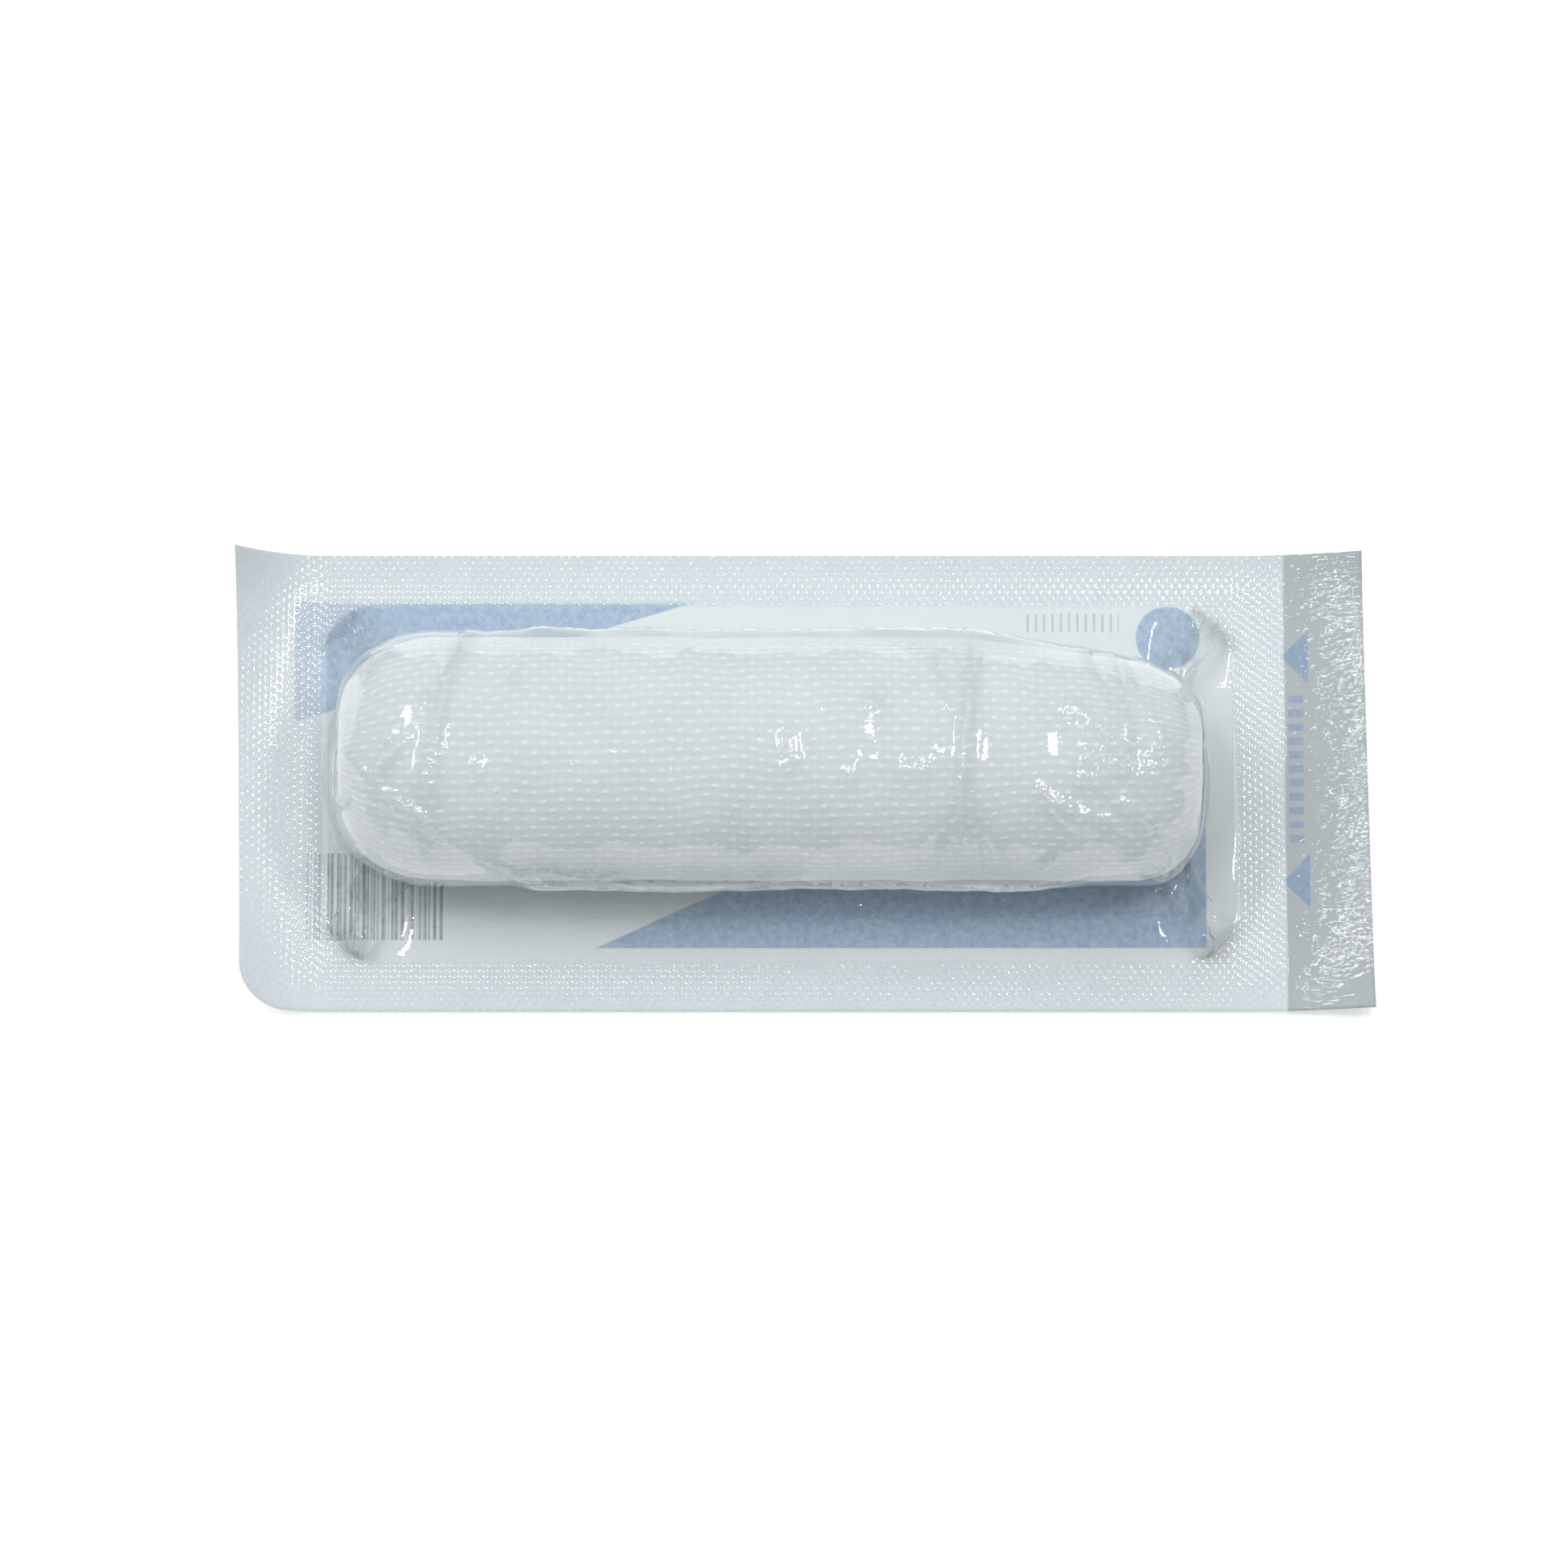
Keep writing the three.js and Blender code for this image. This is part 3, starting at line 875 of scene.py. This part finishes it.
# The film's colours: seen straight on; seen along its surface, which also gives the painted shade on crease
# flanks; and where it is sealed or creased.
FILM_CLEAR = (0.985, 0.99, 0.99, 1.0)
FILM_STEEP_AND_CREASE_SHADE = (0.80, 0.835, 0.85, 1.0)
FILM_MILKY = (0.93, 0.96, 0.98, 1.0)

# The share of light that a single face of the film mirrors, seen straight on.
FILM_MIRROR = 0.04
FILM_ROUGHNESS = 0.025


def film_material():
    """Clear glossy film: it shows what is under it, glints on its creases and is hazy when sealed."""
    pouch = Pouch()
    half_pocket = (pouch.front - pouch.back) / 2
    tree = Tree("clear_film")
    x, y, zone = tree.attribute("film_mm")
    seal = zone.step(0.1, 0.9) * (1.0 - zone.step(1.4, 1.6))
    pocket = 1.0 - zone.step(0.0, 0.2)
    tab = zone.step(1.4, 1.6)
    at_ends = abs(x - pouch.middle).step(half_pocket, half_pocket + 0.2)
    side_dots = knurl(tree, x, y)
    dots = tree.maths("MULTIPLY_ADD", knurl(tree, y, x) - side_dots, at_ends, side_dots)
    crease = tree.attribute("film_crease")[0]
    wrinkles = tree.noise((x * 0.5, y * 1.6, 0.0), 0.9, 2.0, 0.6)
    crumple = tree.noise((x, y, 4.0), 1.1, 1.0)
    # The relief: wrinkles, most of all on the open tab, then the seal's dots and what each crease crumples.
    height = wrinkles * (pocket * 0.35 + tab * 3.5 + 0.15) + dots * seal * 0.9 + crumple * crease * 8.0
    normal = tree.bump(height, 0.10 * MM, 0.6)
    mirror = tree.add("ShaderNodeBsdfGlossy", None, {
        "Color": (1.0, 1.0, 1.0, 1.0), "Roughness": FILM_ROUGHNESS, "Normal": normal})
    clear = tree.add("ShaderNodeBsdfTransparent", None, {"Color": FILM_CLEAR})
    edge = tree.add("ShaderNodeBsdfTransparent", None, {"Color": FILM_STEEP_AND_CREASE_SHADE})
    turned = Value(tree, tree.add("ShaderNodeLayerWeight", None, {"Blend": 0.5}).outputs["Facing"])
    steep = turned ** 3.0
    # Painted shade: the film is darkened on crease flanks seen at a slant, which draws the creases as grey
    # lines.
    body = tree.add("ShaderNodeMixShader", None, {
        0: tree.least(steep * 0.4 + crease * turned * 3.0, 1.0), 1: clear.outputs[0], 2: edge.outputs[0]})
    white = tree.add("ShaderNodeBsdfDiffuse", None, {"Color": FILM_MILKY})
    # How milky the film is: where it is sealed, on a dot, on a crease, seen along its surface, anywhere.
    haze = seal * 0.36 + seal * dots * 0.07 + tree.least(crease * 0.16, 0.26) + steep * 0.16 + 0.03
    hazy = tree.add("ShaderNodeMixShader", None, {0: haze, 1: body.outputs[0], 2: white.outputs[0]})
    fresnel = turned ** 5.0 * (1 - FILM_MIRROR) + FILM_MIRROR
    share = fresnel * 2.0 / (fresnel + 1.0)
    shader = tree.add("ShaderNodeMixShader", None, {0: share, 1: hazy.outputs[0], 2: mirror.outputs[0]})
    return tree.finish(shader.outputs[0])


class POUCH_OT_film(bpy.types.Operator):
    """Settles the clear formed film over the roll"""

    bl_idname = "pouch.film"
    bl_label = "Clear film"

    def execute(self, context):
        pouch, roll = Pouch(), Roll()
        points, inside, rise = settled_film(pouch, roll)
        rows, columns = points.shape[:2]
        seal = np.where(points[..., 0] > pouch.seal_end, 2.0, np.clip(-inside / 0.6, 0, 1))
        places = np.stack([points[..., 0], points[..., 1], seal], -1)
        new_piece("film_pocket", points * MM, grid_faces(rows, columns), "pouch_film",
                  film_material(), {"film_mm": places, "film_crease": np.stack([rise] * 3, -1)})
        return {"FINISHED"}


def paper_place(column, row):
    """A place in the picture as a place on the flat paper, in millimetres."""
    picture = bpy.context.scene.picture_settings
    pixel = picture.width / picture.pixels / MM
    half = picture.pixels / 2
    x = (column - half) * pixel + picture.aim[0] / MM
    return x, (half - row) * pixel / math.sin(picture.elevation) + picture.aim[1] / MM


def between(value, low, high, soft=0.12):
    """1 from low to high with soft edges, and 0 outside."""
    return value.step(low - soft, low + soft) * (1.0 - value.step(high - soft, high + soft))


def below_line(tree, x, y, start, end):
    """1 below the straight line through two places, and 0 above it."""
    slope = (end[1] - start[1]) / (end[0] - start[0])
    return 1.0 - (y - (x - start[0]) * slope - start[1]).step(-0.12, 0.12)


def printed_blue(tree, x, y):
    """Where the backing is printed blue: two plain wedges, a disc and two arrowheads."""
    left, top = paper_place(362, 742)
    _, low = paper_place(362, 890)
    tip = paper_place(855, 742)
    upper = between(x, left, tip[0]) * (1.0 - y.step(top - 0.12, top + 0.12))
    upper = upper * (1.0 - below_line(tree, x, y, (left, low), tip))
    point = paper_place(735, 1168)
    crest = paper_place(870, 1107)
    right, high = paper_place(1485, 960)
    lower = between(x, point[0], right) * between(y, point[1], high)
    lower = lower * below_line(tree, x, y, point, crest)
    disc_x, disc_y = paper_place(1440, 786)
    away_x, away_y = x - disc_x, y - disc_y
    disc = 1.0 - tree.maths("SQRT", away_x * away_x + away_y * away_y).step(3.7, 3.95)
    arrows = []
    for row in (811, 1087):
        tip_x, tip_y = paper_place(1579, row)
        reach = x - tip_x
        arrows.append((reach - abs(y - tip_y)).step(-0.1, 0.1) * (1.0 - reach.step(3.15, 3.35)))
    return tree.most(upper, lower, disc, *arrows)


def printed_marks(tree, x, y):
    """Where the backing has thin marks: a block of bars, a small scale and ticks on the tab."""
    bars_left, bars_top = paper_place(378, 1052)
    bars_right, bars_low = paper_place(548, 1158)
    stripes = tree.noise((x * 2.6, 0.0, 0.0), 1.0, 1.0).step(0.47, 0.53)
    bars = stripes * between(x, bars_left, bars_right, 0.05) * between(y, bars_low, bars_top, 0.08)
    scale_left, scale_top = paper_place(1262, 756)
    scale_right, scale_low = paper_place(1380, 779)
    ticks = tree.wave(x, 1.0).step(0.72, 0.9)
    scale = ticks * between(x, scale_left, scale_right, 0.05) * between(y, scale_low, scale_top, 0.08)
    row_left, row_top = paper_place(1588, 858)
    row_right, row_low = paper_place(1606, 1046)
    dashes = tree.wave(y, 1.7).step(0.35, 0.5)
    row = dashes * between(x, row_left, row_right, 0.06) * between(y, row_low, row_top, 0.1)
    return bars, tree.most(scale, row)


# The paper is made lighter and warmer in the pocket by painted light, and darker at the unsealed tab by
# painted shade.
POCKET_PAINTED_LIGHT = (1.08, 1.05, 0.99)
TAB_PAINTED_SHADE = 0.66


def backing_material(name, shows):
    """Mottled medical paper with its print, which shows through the paper by a share."""
    c = colours()
    pouch = Pouch()
    tree = Tree(name)
    x, y, _ = tree.place()
    fibre = tree.noise((x, y, 0.0), 1.6, 4.0, 0.7)
    cloud = tree.noise((x, y, 5.0), 0.25, 1.0)
    tone = fibre * 0.7 + cloud * 0.3
    bare = tree.blend(tone.step(0.25, 0.75), tuple(v * 0.94 for v in c.paper),
                      tuple(min(1.0, v * 1.05) for v in c.paper))
    in_pocket = between(x, pouch.back, pouch.front) * between(y, -pouch.side, pouch.side)
    mottle = tree.noise((x, y, 9.0), 1.1, 4.0, 0.75).step(0.25, 0.8) * 0.6 + 0.62
    blue = printed_blue(tree, x, y)
    # On the pocket's near side the print is darker: partly a stronger print, and partly painted shade from
    # the roll.
    near_side_print_and_shade = 1.0 - y.step(-16.0, -2.0)
    strength = (in_pocket * 0.08 + 0.52 + near_side_print_and_shade * in_pocket * 0.04) * mottle * shows
    # Painted warm light: the bare paper inside the pocket is made lighter and warmer.
    bare = tree.blend(in_pocket * 0.6, bare, tuple(v * k for v, k in zip(c.paper, POCKET_PAINTED_LIGHT)))
    # Painted shade: the paper of the unsealed tab is made darker.
    bare = tree.blend(x.step(pouch.seal_end - 0.2, pouch.seal_end + 0.2), bare,
                      tuple(v * TAB_PAINTED_SHADE for v in c.paper))
    tinted = tree.blend(blue * strength, bare, tuple(c.print_blue))
    bars, ticks = printed_marks(tree, x, y)
    marked = tree.blend(tree.least(bars * mottle * 0.62 * shows, 1.0), tinted, tuple(c.print_dark))
    marked = tree.blend(tree.least(ticks * mottle * 0.42 * shows, 1.0), marked, tuple(c.print_blue))
    normal = tree.bump(fibre, 0.05 * MM, 0.5)
    shader = tree.add("ShaderNodeBsdfPrincipled", None, {
        "Base Color": marked, "Roughness": 0.85, "Normal": normal, "Specular IOR Level": 0.25})
    return tree.finish(shader.outputs[0])


class POUCH_OT_backing(bpy.types.Operator):
    """Lays out the paper backing with its curls"""

    bl_idname = "pouch.backing"
    bl_label = "Paper backing"

    def execute(self, context):
        pouch = Pouch()
        x, y = np.meshgrid(np.linspace(-pouch.half_length, pouch.half_length, 240),
                           np.linspace(-pouch.half_width, pouch.half_width, 100))
        x, y = pouch.cut(x, y)
        under = pouch.lift(x, y)
        layers = np.stack([np.stack([x, y, under + rise], -1) for rise in (pouch.wall, 0.0)])
        faces = sheet_faces(*x.shape)
        piece = new_piece("backing_sheet", layers * MM, faces, "paper_backing",
                          backing_material("mottled_paper", 1.0))
        piece.data.materials.append(backing_material("printed_underside", 1.5))
        layer = (x.shape[0] - 1) * (x.shape[1] - 1)
        under_faces = np.zeros(len(faces), np.int32)
        under_faces[layer:2 * layer] = 1
        piece.data.polygons.foreach_set("material_index", under_faces)
        return {"FINISHED"}


def area_light(name, place, width, depth, watts, tint):
    """A rectangular light that faces the roll."""
    data = bpy.data.lights.new(name, "AREA")
    data.shape = "RECTANGLE"
    data.size, data.size_y = width, depth
    data.energy = watts
    data.color = tint
    lamp = bpy.data.objects.new(name, data)
    lamp.location = place
    lamp.rotation_mode = "QUATERNION"
    lamp.rotation_quaternion = (Vector(LIGHT_AIM) - Vector(place)).to_track_quat("-Z", "Y")
    bpy.context.scene.collection.objects.link(lamp)
    return lamp


# The small bright lights that the film glints with: place, width, depth and watts.
GLINTS = (
    ("glint_above", (0.17, 0.06, 1.1), 0.14, 0.08, 1.4),
    ("glint_right", (0.44, 0.12, 1.0), 0.18, 0.09, 1.2),
    ("glint_left", (-0.42, 0.20, 1.0), 0.50, 0.06, 1.3),
)

# The large soft light, the even light of the room, and the floor's own glow that keeps it white.
KEY_PLACE = (-0.25, 0.42, 1.20)
KEY_SIZE = (1.6, 1.2)
KEY_WATTS = 10.2
KEY_TINT = (0.91, 0.96, 0.99)
ROOM_TINT = (0.97, 0.985, 1.0, 1.0)
ROOM_STRENGTH = 0.25
FLOOR_GLOW = 0.35

# What the lights are aimed at: the roll's middle.
LIGHT_AIM = (0.0, 0.0, 0.01)


class POUCH_OT_stage(bpy.types.Operator):
    """Sets up the floor, the soft studio light and the camera"""

    bl_idname = "pouch.stage"
    bl_label = "Stage"

    def execute(self, context):
        scene = context.scene
        camera = Camera()
        data = bpy.data.cameras.new("picture_camera")
        data.lens = scene.picture_settings.lens
        data.sensor_width = SENSOR
        data.clip_start, data.clip_end = 0.05, 20.0
        view = bpy.data.objects.new("picture_camera", data)
        view.location = camera.place
        view.rotation_mode = "QUATERNION"
        view.rotation_quaternion = Vector(-camera.back).to_track_quat("-Z", "Y")
        scene.collection.objects.link(view)
        scene.camera = view
        scene.view_settings.view_transform = "Standard"
        self.floor()
        self.world(scene)
        for name, place, wide, deep, watts in GLINTS:
            area_light(name, place, wide, deep, watts, (1, 1, 1))
        key = area_light("soft_key", KEY_PLACE, *KEY_SIZE, KEY_WATTS, KEY_TINT)
        key.visible_glossy = False
        return {"FINISHED"}

    def floor(self):
        """A plain white floor just under the pouch."""
        half = 1.5
        points = np.array([(-half, -half, 0), (half, -half, 0), (half, half, 0), (-half, half, 0)])
        mesh = bpy.data.meshes.new("floor")
        mesh.from_pydata((points - (0, 0, 0.00005)).tolist(), [], [(0, 1, 2, 3)])
        floor = bpy.data.objects.new("floor", mesh)
        bpy.context.scene.collection.objects.link(floor)
        tree = Tree("white_floor")
        shader = tree.add("ShaderNodeBsdfPrincipled", None, {
            "Base Color": (*colours().floor, 1.0), "Roughness": 0.9, "Specular IOR Level": 0.1,
            "Emission Color": (*colours().floor, 1.0), "Emission Strength": FLOOR_GLOW})
        mesh.materials.append(tree.finish(shader.outputs[0]))

    def world(self, scene):
        """Even light from all sides."""
        world = bpy.data.worlds.new("studio")
        world.use_nodes = True
        ground = world.node_tree.nodes["Background"]
        ground.inputs[0].default_value = ROOM_TINT
        ground.inputs[1].default_value = ROOM_STRENGTH
        scene.world = world


class POUCH_PT_sidebar(bpy.types.Panel):
    """The pouch's sizes, colours and steps"""

    bl_idname = "POUCH_PT_sidebar"
    bl_label = "Bandage in its pouch"
    bl_space_type = "VIEW_3D"
    bl_region_type = "UI"
    bl_category = "Bandage"

    def draw(self, context):
        for group in (context.scene.pouch_sizes, context.scene.pouch_colours,
                      context.scene.picture_settings):
            box = self.layout.box()
            for name in group.__annotations__:
                box.prop(group, name)
        for step in STEPS:
            self.layout.operator(step.bl_idname)


STEPS = (POUCH_OT_stage, POUCH_OT_backing, POUCH_OT_gauze_roll, POUCH_OT_film)
GROUPS = {"pouch_sizes": PouchSizes, "pouch_colours": PouchColours, "picture_settings": PictureSettings}


def register():
    for each in (*GROUPS.values(), *STEPS, POUCH_PT_sidebar):
        bpy.utils.register_class(each)
    for name, group in GROUPS.items():
        setattr(bpy.types.Scene, name, PointerProperty(type=group))


def unregister():
    for name in GROUPS:
        delattr(bpy.types.Scene, name)
    for each in (POUCH_PT_sidebar, *reversed(STEPS), *reversed(GROUPS.values())):
        bpy.utils.unregister_class(each)


def main():
    register()
    bpy.ops.pouch.stage()
    bpy.ops.pouch.backing()
    bpy.ops.pouch.gauze_roll()
    bpy.ops.pouch.film()


if __name__ == "__main__":
    main()
